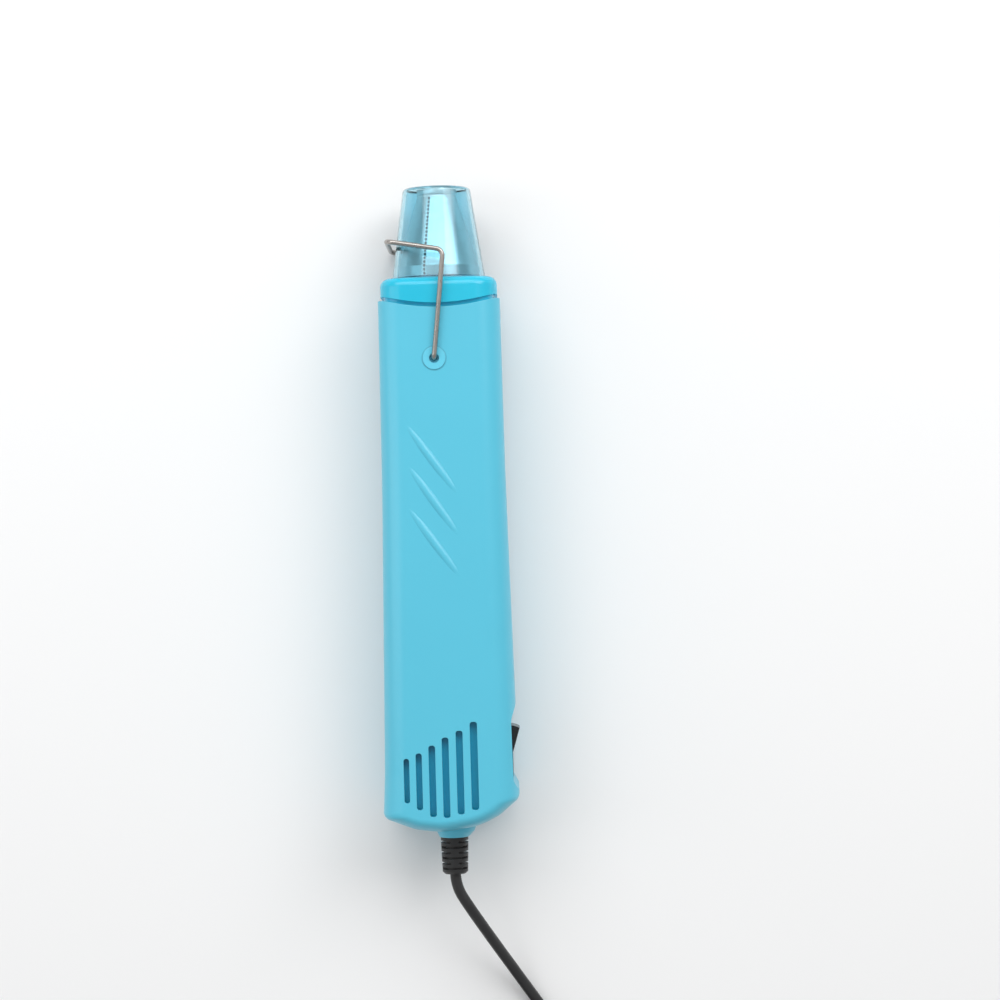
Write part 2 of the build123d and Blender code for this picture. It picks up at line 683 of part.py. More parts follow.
with BuildPart() as motor_brushes:
    for side in (-1, 1):
        # carbon against the commutator, on a spring arm that ends in a tab outside the cap
        with BuildSketch(across(-60.8)):
            with Locations((side * 5.35, 0)):
                Rectangle(4.4, 2.4)
        extrude(amount=3.2)
        with BuildSketch(across(-60.8)):
            with Locations((side * 8.9, 0)):
                Rectangle(3.0, 2.0)
        extrude(amount=1.0)
        with BuildSketch(across(-60.8)):
            with Locations((side * 10.1, 0)):
                Rectangle(0.6, 2.0)
        extrude(amount=5.2)
motor_brushes.part.label = "motor_brushes"
export_step(motor_brushes.part, "parts/motor_brushes.step")

with BuildPart() as rectifier_board:
    with BuildSketch(across(-70.3)):
        with Locations((-3.5, 0)):
            RectangleRounded(17.0, 20.0, 1.2)
    extrude(amount=1.2)
rectifier_board.part.label = "rectifier_board"
export_step(rectifier_board.part, "parts/rectifier_board.step")

with BuildPart() as rectifier_diodes:
    for x, z in ((-8.6, -4.5), (-8.6, 4.5), (0.2, -4.5), (0.2, 4.5)):
        with BuildSketch(Plane(origin=(x - 2.6, -71.55 - 1.4, AXIS_Z + z), x_dir=(0, 1, 0), z_dir=(1, 0, 0))):
            Circle(1.35)
        extrude(amount=5.2)
rectifier_diodes.part.label = "rectifier_diodes"
export_step(rectifier_diodes.part, "parts/rectifier_diodes.step")

# ------------------------------------------------------------------ switch
with BuildPart() as switch_housing:
    px, py = ROCKER_PIN
    with BuildSketch(Plane(origin=(20.55, py, AXIS_Z), x_dir=(0, 1, 0), z_dir=(-1, 0, 0))):
        RectangleRounded(24.6, 17.0, 1.2)
    extrude(amount=1.6)
    with BuildSketch(Plane(origin=(19.0, py, AXIS_Z), x_dir=(0, 1, 0), z_dir=(-1, 0, 0))):
        RectangleRounded(23.0, 15.6, 1.0)
    extrude(amount=11.0)
    # well that the rocker tips in
    with BuildSketch(Plane(origin=(20.6, py, AXIS_Z), x_dir=(0, 1, 0), z_dir=(-1, 0, 0))):
        Rectangle(2 * ROCKER_R + 0.7, 2 * ROCKER_HALF_Z + 0.7)
    extrude(amount=10.0, mode=Mode.SUBTRACT)
switch_housing.part.label = "switch_housing"
export_step(switch_housing.part, "parts/switch_housing.step")

# Rocker: shallow V on top, ends on a cylinder about its pin, tipped so that the nose end stands out.
TIP = 8.3
with BuildPart() as rocker_button:
    px, py = ROCKER_PIN
    rest = math.radians(-TIP)
    base = Plane(
        origin=(px, py, AXIS_Z - ROCKER_HALF_Z),
        x_dir=(math.cos(rest), math.sin(rest), 0),
        z_dir=(0, 0, 1),
    )
    with BuildSketch(base):
        rise = math.tan(math.radians(TIP))
        x_mid, x_low = 2.0, -3.0
        y_top = math.sqrt(ROCKER_R**2 - (x_mid + 9.6 * rise) ** 2)
        y_low = math.sqrt(ROCKER_R**2 - x_low**2)
        with BuildLine():
            x_top = x_mid + y_top * rise
            Polyline((x_top, y_top), (x_mid, 0), (x_top, -y_top))
            ThreePointArc((x_top, -y_top), (0, -ROCKER_R), (x_low, -y_low))
            Polyline((x_low, -y_low), (-6.2, -3.0), (-6.2, 3.0), (x_low, y_low))
            ThreePointArc((x_low, y_low), (0, ROCKER_R), (x_top, y_top))
        make_face()
    extrude(amount=2 * ROCKER_HALF_Z)
    # rounded long top edges and ends
    top_edges = rocker_button.edges().filter_by(
        lambda e: abs(abs((e @ 0.5).Z - AXIS_Z) - ROCKER_HALF_Z) < 1e-3 and (e @ 0.5).X > px + 0.6
        and abs((e @ 0).Z - (e @ 1).Z) < 1e-6 and e.geom_type == GeomType.LINE
    )
    fillet(top_edges, radius=0.7)
print("rocker", rocker_button.part.bounding_box(), rocker_button.part.is_valid)
rocker_button.part.label = "rocker_button"
export_step(rocker_button.part, "parts/rocker_button.step")

with BuildPart() as switch_contacts:
    for y in (ROCKER_PIN[1] + 7.0, ROCKER_PIN[1], ROCKER_PIN[1] - 7.0):
        with BuildSketch(Plane(origin=(7.95, y, AXIS_Z), x_dir=(0, 1, 0), z_dir=(-1, 0, 0))):
            Rectangle(0.8, 4.8)
        extrude(amount=6.5)
switch_contacts.part.label = "switch_contacts"
export_step(switch_contacts.part, "parts/switch_contacts.step")

# ------------------------------------------------------------------ stand wire
with BuildPart() as stand_wire:
    with BuildLine() as bend:
        zt, zb = AXIS_Z + WIRE_Z, AXIS_Z - WIRE_Z
        path = [
            (PIVOT[0], PIVOT[1], AXIS_Z + 16.0),
            (PIVOT[0], PIVOT[1], zt),
            (WIRE_CORNER[0], WIRE_CORNER[1], zt),
            (WIRE_BAR[0], WIRE_BAR[1], zt),
            (WIRE_BAR[0], WIRE_BAR[1], zb),
            (WIRE_CORNER[0], WIRE_CORNER[1], zb),
            (PIVOT[0], PIVOT[1], zb),
            (PIVOT[0], PIVOT[1], AXIS_Z - 16.0),
        ]
        FilletPolyline(*path, radius=[1.5, 2.8, 2.8, 2.8, 2.8, 1.5])
    with BuildSketch(Plane(origin=path[0], z_dir=(0, 0, 1))):
        Circle(WIRE_R)
    sweep()
stand_wire.part.label = "stand_wire"
print("stand wire", stand_wire.part.bounding_box(), stand_wire.part.is_valid, round(stand_wire.part.volume))
export_step(stand_wire.part, "parts/stand_wire.step")

# ------------------------------------------------------------------ strain relief and the sheath inside it
with BuildPart() as strain_relief:
    with BuildSketch(TURN):
        with BuildLine():
            outline = [(CORD_R + 0.06, EXIT_Y), (4.1, EXIT_Y), (4.9, EXIT_Y + 0.8)]
            outline += [(5.35, TAIL_Y - 0.05), (4.15, TAIL_Y - 0.05), (4.15, -114.6), (6.2, -114.6), (6.2, -112.6), (4.0, -112.2), (3.6, -109.5), (CORD_R + 0.06, -109.5)]
            Polyline(*outline, outline[0])
        make_face()
    revolve(axis=TURN_AXIS)
    # rings of slots that let it bend: two slots in each ring, a quarter turn on from ring to ring
    for k in range(6):
        y = EXIT_Y + 1.75 + 2.05 * k
        with BuildSketch(across(y + 0.85)):
            Circle(9)
            Circle(3.55, mode=Mode.SUBTRACT)
            if k % 2:
                Rectangle(3.0, 20, mode=Mode.SUBTRACT)
            else:
                Rectangle(20, 3.0, mode=Mode.SUBTRACT)
        extrude(amount=0.85, mode=Mode.SUBTRACT)
strain_relief.part.label = "strain_relief"
export_step(strain_relief.part, "parts/strain_relief.step")

cord_sheath = turned("cord_sheath", [(0, EXIT_Y), (CORD_R, EXIT_Y), (CORD_R, -105.0), (0, -105.0)])


# ------------------------------------------------------------------ wires, inside and outside
def arcs_for(points, cap=None):
    """Largest fair radius at each inner point of a route: 0.45 of the shorter run over tan of half the turn."""
    radii = []
    for a, b, c in zip(points, points[1:], points[2:]):
        u, v = Vector(*b) - Vector(*a), Vector(*c) - Vector(*b)
        r = 0.45 * min(u.length, v.length) / math.tan(math.radians(u.get_angle(v)) / 2)
        radii.append(r if cap is None else min(r, cap))
    return radii


def tube(label, points, radius, cap=None):
    radii = arcs_for(points, cap)
    with BuildPart() as piece:
        with BuildLine() as route:
            FilletPolyline(*points, radius=radii)
        with BuildSketch(Plane(origin=points[0], z_dir=Vector(*points[1]) - Vector(*points[0]))):
            Circle(radius)
        sweep()
    length = sum(e.length for e in route.edges())
    runs = [(Vector(*b) - Vector(*a)).length for a, b in zip(points, points[1:])]
    print(label, "length", round(length, 1), "runs", [round(r, 1) for r in runs], "radii", [round(r, 1) for r in radii],
          "volume/section*length", round(piece.part.volume / (math.pi * radius**2 * length), 4), piece.part.is_valid)
    piece.part.label = label
    export_step(piece.part, f"parts/{label}.step")
    return piece.part, length


LEAD_R = 0.8
lead_live, _ = tube("lead_live", [
    (0.9, -104.9, AXIS_Z), (0.9, -102.1, AXIS_Z), (-0.8, -98.8, AXIS_Z - 1.0), (-0.6, -94.7, AXIS_Z), (0.55, -92.2, AXIS_Z),
], LEAD_R, 4)
lead_switched, _ = tube("lead_switched", [
    (0.6, -78.2, AXIS_Z + 1.2), (-2.6, -78.3, AXIS_Z + 4.5), (-3.0, -78.1, AXIS_Z + 10.6), (4.0, -75.8, AXIS_Z + 14.6),
    (14.3, -66.0, AXIS_Z + 15.2), (14.3, -40.0, AXIS_Z + 15.0), (14.3, -3.0, AXIS_Z + 15.0), (13.4, 1.4, AXIS_Z + 14.0),
    (9.6, 3.4, AXIS_Z + 10.0), (5.2, 12.0, AXIS_Z + 5.0), (4.9, 20.8, AXIS_Z + 1.2),
], LEAD_R, 8)
lead_neutral, _ = tube("lead_neutral", [
    (-0.9, -104.9, AXIS_Z), (-1.1, -101.0, AXIS_Z), (-6.0, -94.0, AXIS_Z + 6.0), (-12.5, -84.0, AXIS_Z + 14.0),
    (-14.3, -66.0, AXIS_Z + 15.2), (-14.3, -40.0, AXIS_Z + 15.0), (-14.3, -3.0, AXIS_Z + 15.0), (-13.4, 1.4, AXIS_Z + 14.0),
    (-9.6, 3.4, AXIS_Z + 10.0), (-5.2, 12.0, AXIS_Z + 4.4), (-4.7, 21.0, AXIS_Z + 2.6),
], LEAD_R, 8)

# ------------------------------------------------------------------ cord outside
# Put-away coil: eleven places of a neat round bundle, lying beside and on each other.
COIL_X, COIL_Y, COIL_MID = 20.0, -224.5, 24.4
COIL_Z0 = 0.9           # the bundle rests on its tie
BUNDLE_IN, BUNDLE_OUT, BUNDLE_TOP = COIL_MID - 8.6, COIL_MID + 8.6, COIL_Z0 + 11.9

run_points = [
    (0, EXIT_Y, AXIS_Z),
    (0, -141.9, AXIS_Z),
    (4.7, -154.7, 19.4),
    (14.1, -168.1, 8.6),
    (27.0, -184.0, 2.1),
    (43.0, -201.0, 2.1),
    (49.8, -217.0, 2.8),
]
cord_run, run_length = tube("cord_run", run_points, CORD_R)

# it leaves the bundle's top at its right side, and goes round to the plug
end_points = [
    (COIL_X + COIL_MID + 6.3, COIL_Y, COIL_Z0 + 9.4),
    (51.2, -239.5, 9.4),
    (41.4, -254.9, 7.8),
    (25.0, -262.4, 8.3),
    (13.0, -262.4, 8.5),
]
cord_end, end_length = tube("cord_end", end_points, CORD_R)

with BuildPart() as cord_coil:
    with BuildSketch(Plane(origin=(COIL_X, COIL_Y, 0), x_dir=(1, 0, 0), z_dir=(0, -1, 0))):
        with Locations((COIL_MID, (COIL_Z0 + BUNDLE_TOP) / 2)):
            RectangleRounded(BUNDLE_OUT - BUNDLE_IN, BUNDLE_TOP - COIL_Z0, 3.6)
    revolve(axis=Axis((COIL_X, COIL_Y, 0), (0, 0, 1)))
cord_coil.part.label = "cord_coil"
export_step(cord_coil.part, "parts/cord_coil.step")

TIE_ANGLE, TIE_SPAN, TIE_T = 128.0, 17.0, 0.9
with BuildPart() as coil_tie:
    start = math.radians(TIE_ANGLE)
    with BuildSketch(Plane(origin=(COIL_X, COIL_Y, 0), x_dir=(math.cos(start), math.sin(start), 0), z_dir=(math.sin(start), -math.cos(start), 0))):
        with Locations((COIL_MID, (COIL_Z0 + BUNDLE_TOP) / 2)):
            RectangleRounded(BUNDLE_OUT - BUNDLE_IN + 2 * TIE_T, BUNDLE_TOP - COIL_Z0 + 2 * TIE_T, 3.6 + TIE_T)
            RectangleRounded(BUNDLE_OUT - BUNDLE_IN, BUNDLE_TOP - COIL_Z0, 3.6, mode=Mode.SUBTRACT)
    revolve(axis=Axis((COIL_X, COIL_Y, 0), (0, 0, 1)), revolution_arc=TIE_SPAN)
coil_tie.part.label = "coil_tie"
export_step(coil_tie.part, "parts/coil_tie.step")

# ------------------------------------------------------------------ plug, lying flat beside the coil
last, before = Vector(*end_points[-1]), Vector(*end_points[-2])
heading = Vector(last.X - before.X, last.Y - before.Y, 0).normalized()
PLUG_T, PLUG_W, PLUG_L = 17.0, 27.0, 27.0
plug_tail = Plane(origin=(last.X, last.Y, PLUG_T / 2), x_dir=(-heading.Y, heading.X, 0), z_dir=heading)
with BuildPart() as plug_body:
    # its own short relief, then the body that widens to the pin face
    with BuildSketch(plug_tail):
        Circle(3.2)
    with BuildSketch(plug_tail.offset(9.0)):
        Circle(4.3)
    loft()
    with BuildSketch(plug_tail.offset(8.9)):
        RectangleRounded(15.0, 12.0, 4.5)
    with BuildSketch(plug_tail.offset(16.0)):
        RectangleRounded(22.0, 15.6, 5.0)
    with BuildSketch(plug_tail.offset(8.9 + PLUG_L)):
        RectangleRounded(PLUG_W, PLUG_T, 5.0)
    loft(ruled=True)
    fillet(plug_body.faces().sort_by(Axis(tuple(plug_tail.origin), tuple(heading)))[-1].edges(), radius=1.4)
plug_body.part.label = "plug_body"
print("plug body", plug_body.part.bounding_box(), plug_body.part.is_valid)
export_step(plug_body.part, "parts/plug_body.step")

with BuildPart() as plug_pins:
    for side in (-1, 1):
        face = Plane(origin=plug_tail.offset(8.9 + PLUG_L).origin, x_dir=plug_tail.x_dir, z_dir=heading)
        with BuildSketch(face):
            with Locations(Location((side * 6.9, 0.5), side * -30)):
                Rectangle(1.6, 6.3)
        extrude(amount=17.3)
    chamfer(plug_pins.faces().sort_by(Axis(tuple(plug_tail.origin), tuple(heading)))[-2:].edges(), length=0.5)
plug_pins.part.label = "plug_pins"
export_step(plug_pins.part, "parts/plug_pins.step")

print("cord in all", round(run_length + 10.0 * 2 * math.pi * COIL_MID + end_length, 0))
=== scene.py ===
import bpy
import bmesh
import math
from mathutils import Vector, Matrix


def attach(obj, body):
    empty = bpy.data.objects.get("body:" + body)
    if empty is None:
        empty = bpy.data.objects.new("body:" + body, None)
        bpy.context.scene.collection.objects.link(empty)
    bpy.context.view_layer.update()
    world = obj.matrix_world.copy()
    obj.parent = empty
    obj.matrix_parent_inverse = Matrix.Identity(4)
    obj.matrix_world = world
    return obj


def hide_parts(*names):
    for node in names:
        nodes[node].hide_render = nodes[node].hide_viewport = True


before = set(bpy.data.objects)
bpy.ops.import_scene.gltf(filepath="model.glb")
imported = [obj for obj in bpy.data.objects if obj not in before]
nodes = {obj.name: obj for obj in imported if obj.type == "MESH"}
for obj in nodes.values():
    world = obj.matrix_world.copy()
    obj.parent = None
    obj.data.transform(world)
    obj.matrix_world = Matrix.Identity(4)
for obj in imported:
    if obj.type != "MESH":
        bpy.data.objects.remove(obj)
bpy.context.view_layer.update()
scene = bpy.context.scene
MM = 0.001
AXIS_Z = 22.65          # millimetres, as in the CAD


# ---------------------------------------------------------------- camera
# Straight above the broad side. One metre above the tool's middle plane the frame's width is 385 mm there,
# and the photograph's up direction leans 1.6 degrees from the tool's axis.
cam_data = bpy.data.cameras.new("camera")
cam_data.sensor_width = 36.0
cam_data.lens = 36.0 * 1000.0 / 385.0
cam_data.clip_start, cam_data.clip_end = 0.01, 20.0
camera = bpy.data.objects.new("camera", cam_data)
scene.collection.objects.link(camera)
camera.location = (21.15 * MM, 11.15 * MM, (AXIS_Z + 1000.0) * MM)
camera.rotation_euler = (0.0, 0.0, -math.radians(1.616))
scene.camera = camera


# ---------------------------------------------------------------- materials
class Nodes:
    """Short way to write a node tree."""

    def __init__(self, name):
        self.material = bpy.data.materials.new(name)
        self.material.use_nodes = True
        self.tree = self.material.node_tree
        self.tree.nodes.clear()
        self.out = self.add("ShaderNodeOutputMaterial")
        self.shader = self.add("ShaderNodeBsdfPrincipled")
        self.tree.links.new(self.shader.outputs[0], self.out.inputs["Surface"])
        self.coord = self.add("ShaderNodeTexCoord").outputs["Object"]

    def add(self, kind, **props):
        node = self.tree.nodes.new(kind)
        for key, value in props.items():
            setattr(node, key, value)
        return node

    def link(self, a, b):
        self.tree.links.new(a, b)

    def put(self, socket, value):
        if isinstance(value, bpy.types.NodeSocket):
            self.link(value, socket)
        else:
            socket.default_value = value

    def mapped(self, scale=(1, 1, 1), turn=(0, 0, 0), shift=(0, 0, 0)):
        node = self.add("ShaderNodeMapping")
        self.link(self.coord, node.inputs["Vector"])
        node.inputs["Scale"].default_value = scale
        node.inputs["Rotation"].default_value = turn
        node.inputs["Location"].default_value = shift
        return node.outputs[0]

    def noise(self, scale, detail=2.0, rough=0.5, vector=None, distortion=0.0):
        node = self.add("ShaderNodeTexNoise")
        self.link(vector or self.coord, node.inputs["Vector"])
        node.inputs["Scale"].default_value = scale
        node.inputs["Detail"].default_value = detail
        node.inputs["Roughness"].default_value = rough
        node.inputs["Distortion"].default_value = distortion
        return node.outputs["Fac"]

    def ramp(self, value, *stops, ease="LINEAR"):
        node = self.add("ShaderNodeValToRGB")
        node.color_ramp.interpolation = ease
        while len(node.color_ramp.elements) < len(stops):
            node.color_ramp.elements.new(0.5)
        for element, (place, colour) in zip(node.color_ramp.elements, stops):
            element.position = place
            element.color = (*colour, 1.0) if hasattr(colour, "__len__") else (colour, colour, colour, 1.0)
        self.link(value, node.inputs[0])
        return node.outputs[0]

    def span(self, value, a, b, lo, hi, smooth=False):
        node = self.add("ShaderNodeMapRange")
        if smooth:
            node.interpolation_type = "SMOOTHSTEP"
        self.link(value, node.inputs["Value"])
        for key, number in zip(("From Min", "From Max", "To Min", "To Max"), (a, b, lo, hi)):
            node.inputs[key].default_value = number
        return node.outputs[0]

    def math(self, how, a, b=0.0):
        node = self.add("ShaderNodeMath", operation=how)
        self.put(node.inputs[0], a)
        self.put(node.inputs[1], b)
        return node.outputs[0]

    def mix(self, fac, a, b, how="MIX"):
        node = self.add("ShaderNodeMix", data_type="RGBA", blend_type=how)
        self.put(node.inputs[0], fac)
        for socket, value in ((node.inputs[6], a), (node.inputs[7], b)):
            if not isinstance(value, bpy.types.NodeSocket) and len(value) == 3:
                value = (*value, 1.0)
            self.put(socket, value)
        return node.outputs[2]

    def axis(self, which, vector=None):
        node = self.add("ShaderNodeSeparateXYZ")
        self.link(vector or self.coord, node.inputs[0])
        return node.outputs["XYZ".index(which)]

    def edge(self, radius, samples=6):
        """1 near convex or concave edges, 0 on open surface, and the rounded normal."""
        bevel = self.add("ShaderNodeBevel", samples=samples)
        bevel.inputs["Radius"].default_value = radius
        geometry = self.add("ShaderNodeNewGeometry")
        dot = self.add("ShaderNodeVectorMath", operation="DOT_PRODUCT")
        self.link(bevel.outputs[0], dot.inputs[0])
        self.link(geometry.outputs["Normal"], dot.inputs[1])
        return self.span(dot.outputs["Value"], 0.96, 0.72, 0.0, 1.0), bevel.outputs[0]

    def bump(self, height, distance, strength=1.0, normal=None):
        node = self.add("ShaderNodeBump")
        node.inputs["Distance"].default_value = distance
        node.inputs["Strength"].default_value = strength
        self.link(height, node.inputs["Height"])
        if normal is not None:
            self.link(normal, node.inputs["Normal"])
        return node.outputs[0]

    def set(self, **values):
        for key, value in values.items():
            name = key.replace("_", " ")
            self.put(self.shader.inputs[name], value)
        return self


def shade(colour, factor):
    return tuple(min(1.0, c * factor) for c in colour)


def moulded(name, colour, rough, grain=0.00002, grain_scale=1500.0, edge_radius=0.00025, edge_shade=1.12, specks=0.03, soft=0.0, coat=0.0, ior=1.5, marks=None):
    """Injection-moulded plastic: slight drift of colour, fine skin, smudges in the gloss, worn edges."""
    n = Nodes(name)
    drift = n.noise(22.0, 3.0, 0.55)
    fine = n.noise(900.0, 2.0, 0.6)
    smudge = n.noise(45.0, 2.0, 0.5)
    colour_a = n.mix(n.span(drift, -0.3, 1.3, 0.0, 1.0), shade(colour, 0.97), shade(colour, 1.03))
    colour_b = n.mix(n.span(fine, 0.35, 0.75, 0.0, specks), colour_a, shade(colour, 0.72))
    edge, normal = n.edge(edge_radius)
    colour_c = n.mix(n.math("MULTIPLY", edge, 0.5), colour_b, tuple(c + (1 - c) * (edge_shade - 1) for c in shade(colour, edge_shade)))
    # marks paints light and shade into the colour: the body's painted highlight and painted shadow round the pivots,
    # and painted shade in its vents
    if marks:
        colour_c = marks(n, colour_c, colour)
    roughness = n.math("ADD", n.span(smudge, -0.3, 1.3, rough - 0.05, rough + 0.06), n.math("MULTIPLY", edge, 0.05))
    skin = n.bump(n.noise(grain_scale, 2.0, 0.5), grain, normal=normal)
    n.set(Base_Color=colour_c, Roughness=roughness, Normal=skin)
    n.shader.inputs["IOR"].default_value = ior
    if soft:
        n.shader.inputs["Subsurface Weight"].default_value = soft
        n.shader.inputs["Subsurface Radius"].default_value = (0.4, 0.9, 1.0)
        n.shader.inputs["Subsurface Scale"].default_value = 0.0015
    if coat:
        n.shader.inputs["Coat Weight"].default_value = coat
        n.shader.inputs["Coat Roughness"].default_value = 0.08
    return n


def metal(name, colour, rough, grain_scale=(1, 1, 1), grain=0.000008, tarnish=0.08, edge_radius=0.00015):
    """Metal with a drawn or turned grain, slight tarnish, and brighter edges."""
    n = Nodes(name)
    drawn = n.noise(700.0, 3.0, 0.6, vector=n.mapped(scale=grain_scale))
    stain = n.noise(90.0, 4.0, 0.6, distortion=0.8)
    edge, normal = n.edge(edge_radius, 4)
    base = n.mix(n.span(stain, 0.4, 0.75, 0.0, 1.0), colour, shade(colour, 1.0 - 2.2 * tarnish))
    base = n.mix(n.span(drawn, 0.3, 0.7, 0.0, 0.35), base, shade(colour, 0.82))
    base = n.mix(n.math("MULTIPLY", edge, 0.5), base, shade(colour, 1.18))
    roughness = n.math("ADD", n.span(drawn, 0.3, 0.7, rough * 0.8, rough * 1.2), n.span(stain, 0.4, 0.8, 0.0, tarnish))
    n.set(Base_Color=base, Roughness=roughness, Normal=n.bump(drawn, grain, normal=normal))
    n.shader.inputs["Metallic"].default_value = 1.0
    return n


BODY = (0.097, 0.520, 0.690)
PIVOT_X, PIVOT_Y = -0.0022, 0.0654     # axis of the stand's pivots


def body_painted_light(n, base, colour):
    """Painted light round the stand's pivots: a painted highlight makes the rings paler than the body, and a painted
    shadow draws a dark line at their foot.
    """
    across = n.math("SUBTRACT", n.axis("X"), PIVOT_X)
    along = n.math("SUBTRACT", n.axis("Y"), PIVOT_Y)
    away = n.math("SQRT", n.math("ADD", n.math("MULTIPLY", across, across), n.math("MULTIPLY", along, along)))
    # painted highlight: inside the ring the colour is paler than the body's
    inside = n.span(away, 0.0042, 0.0044, 0.34, 0.0, smooth=True)
    # painted shadow: a dark line round the ring's foot, made patchy by noise
    foot_shadow = n.span(n.math("ABSOLUTE", n.math("SUBTRACT", away, 0.00458)), 0.0, 0.00042, 0.42, 0.0, smooth=True)
    patchy = n.span(n.noise(260.0, 2.0, 0.5), -0.2, 1.2, 0.55, 1.2)
    painted_highlight = n.mix(inside, base, tuple(min(1.0, c * 1.22 + 0.05) for c in colour))
    painted_highlight_and_shadow = n.mix(n.math("MULTIPLY", foot_shadow, patchy), painted_highlight, shade(colour, 0.42))
    # behind the vent slots the surfaces below the outer face get a deeper, darker teal: painted shade in the recesses
    depth = n.span(n.math("ABSOLUTE", n.math("SUBTRACT", n.axis("Z"), 0.02265)), 0.01825, 0.01845, 1.0, 0.0)
    middle = n.span(n.math("ABSOLUTE", n.math("ADD", n.axis("X"), 0.003)), 0.0152, 0.0156, 1.0, 0.0)
    rear = n.math("MULTIPLY", n.span(n.axis("Y"), -0.109, -0.1078, 0.0, 1.0), n.span(n.axis("Y"), -0.070, -0.066, 1.0, 0.0))
    behind = n.math("MULTIPLY", n.math("MULTIPLY", depth, middle), rear)
    # painted shade: the slot walls and the moulding behind them in darker teal
    return n.mix(behind, painted_highlight_and_shadow, (0.010, 0.47, 0.70))


# the body's colour carries a painted highlight and a painted shadow round the pivots, and painted shade in the vents
body_plastic = moulded("body_plastic", BODY, 0.30, grain=0.000003, grain_scale=420.0, edge_radius=0.0003, edge_shade=1.10, specks=0.0, soft=0.06, marks=body_painted_light)


def guard_material():
    """Translucent teal moulding: clear in front, milky where the square collar has its double wall."""
    n = Nodes("guard_plastic")
    y = n.axis("Y")
    clear = n.span(y, 0.0958, 0.0970, 0.0, 1.0, smooth=True)
    cloud = n.noise(45.0, 3.0, 0.55)
    flow = n.noise(260.0, 3.0, 0.55, vector=n.mapped(scale=(1.0, 0.15, 1.0)))
    milky = n.mix(n.span(cloud, 0.3, 0.7, 0.0, 1.0), (0.018, 0.60, 0.84), (0.030, 0.64, 0.87))
    glassy = n.mix(n.span(cloud, 0.3, 0.7, 0.0, 1.0), (0.46, 0.765, 0.87), (0.50, 0.79, 0.885))
    scratch = n.noise(420.0, 2.0, 0.7, vector=n.mapped(scale=(1.0, 0.06, 1.0), turn=(0.0, 0.0, 0.5)))
    edge, normal = n.edge(0.00025)
    n.set(
        Base_Color=n.mix(clear, milky, glassy),
        Roughness=n.math("ADD", n.span(clear, 0.0, 1.0, 0.20, 0.045), n.span(scratch, 0.55, 0.75, 0.0, 0.05)),
        Transmission_Weight=n.span(clear, 0.0, 1.0, 0.22, 1.0),
        Normal=n.bump(flow, 0.00003, 0.7, normal=normal),
    )
    n.shader.inputs["IOR"].default_value = 1.49
    return n


guard_plastic = guard_material()
nozzle_steel = metal("nozzle_steel", (0.92, 0.92, 0.91), 0.39, grain_scale=(0.25, 1.6, 0.25), grain=0.000012, tarnish=0.05)
weld_steel = metal("weld_steel", (0.10, 0.11, 0.13), 0.45, tarnish=0.15)
wire_steel = metal("wire_steel", (0.44, 0.415, 0.39), 0.26, grain_scale=(1.0, 0.12, 1.0), grain=0.000006, tarnish=0.08)
black_plastic = moulded("black_plastic", (0.011, 0.011, 0.012), 0.24, grain=0.000010, edge_radius=0.0003, edge_shade=1.05, specks=0.3)
screw_steel = metal("screw_steel", (0.52, 0.52, 0.52), 0.32, tarnish=0.12)
motor_steel = metal("motor_steel", (0.62, 0.61, 0.60), 0.34, grain_scale=(1.0, 0.3, 1.0), tarnish=0.1)
plain_steel = metal("plain_steel", (0.66, 0.65, 0.63), 0.30, grain_scale=(0.3, 1.4, 0.3), tarnish=0.1)
heater_wire = metal("heater_wire", (0.36, 0.33, 0.31), 0.42, tarnish=0.15)
bronze = metal("bronze", (0.62, 0.42, 0.20), 0.40, tarnish=0.1)
brass = metal("brass", (0.78, 0.58, 0.26), 0.26, tarnish=0.1)
plated_brass = metal("plated_brass", (0.74, 0.72, 0.68), 0.20, grain_scale=(1.0, 0.2, 1.0), tarnish=0.08)
dull_aluminium = metal("dull_aluminium", (0.60, 0.60, 0.58), 0.38, tarnish=0.08)
duct_plastic = moulded("duct_plastic", (0.030, 0.030, 0.033), 0.45, edge_shade=1.3, specks=0.3)
magnet = moulded("magnet", (0.035, 0.034, 0.034), 0.62, grain=0.00004, specks=0.4)
diode_black = moulded("diode_black", (0.020, 0.020, 0.021), 0.50, specks=0.3)
lead_brown = moulded("lead_brown", (0.16, 0.055, 0.018), 0.42)
lead_blue = moulded("lead_blue", (0.018, 0.10, 0.42), 0.42)


def soft_black():
    """Soft vinyl of the cord and its relief: dull sheen, faint mottling, dust in the pores."""
    n = Nodes("black_rubber")
    pores = n.noise(2600.0, 2.0, 0.6)
    cloud = n.noise(120.0, 4.0, 0.6)
    edge, normal = n.edge(0.0002, 4)
    base = n.mix(n.span(cloud, 0.3, 0.75, 0.0, 1.0), (0.0115, 0.0115, 0.012), (0.019, 0.019, 0.020))
    base = n.mix(n.math("MULTIPLY", edge, 0.35), base, (0.06, 0.06, 0.062))
    n.set(
        Base_Color=base,
        Roughness=n.span(cloud, 0.3, 0.75, 0.36, 0.48),
        Normal=n.bump(pores, 0.000018, 0.8, normal=normal),
    )
    n.shader.inputs["Sheen Weight"].default_value = 0.04
    return n


black_rubber = soft_black()


def mica_material():
    n = Nodes("mica")
    flakes = n.add("ShaderNodeTexVoronoi")
    n.link(n.coord, flakes.inputs["Vector"])
    flakes.inputs["Scale"].default_value = 700.0
    cloud = n.noise(160.0, 4.0, 0.65)
    base = n.mix(cloud, (0.42, 0.36, 0.25), (0.66, 0.60, 0.46))
    n.set(
        Base_Color=n.mix(n.span(flakes.outputs["Distance"], 0.1, 0.7, 0.0, 0.4), base, (0.80, 0.76, 0.64)),
        Roughness=n.span(cloud, 0.3, 0.7, 0.28, 0.5),
        Normal=n.bump(flakes.outputs["Distance"], 0.00003),
    )
    return n


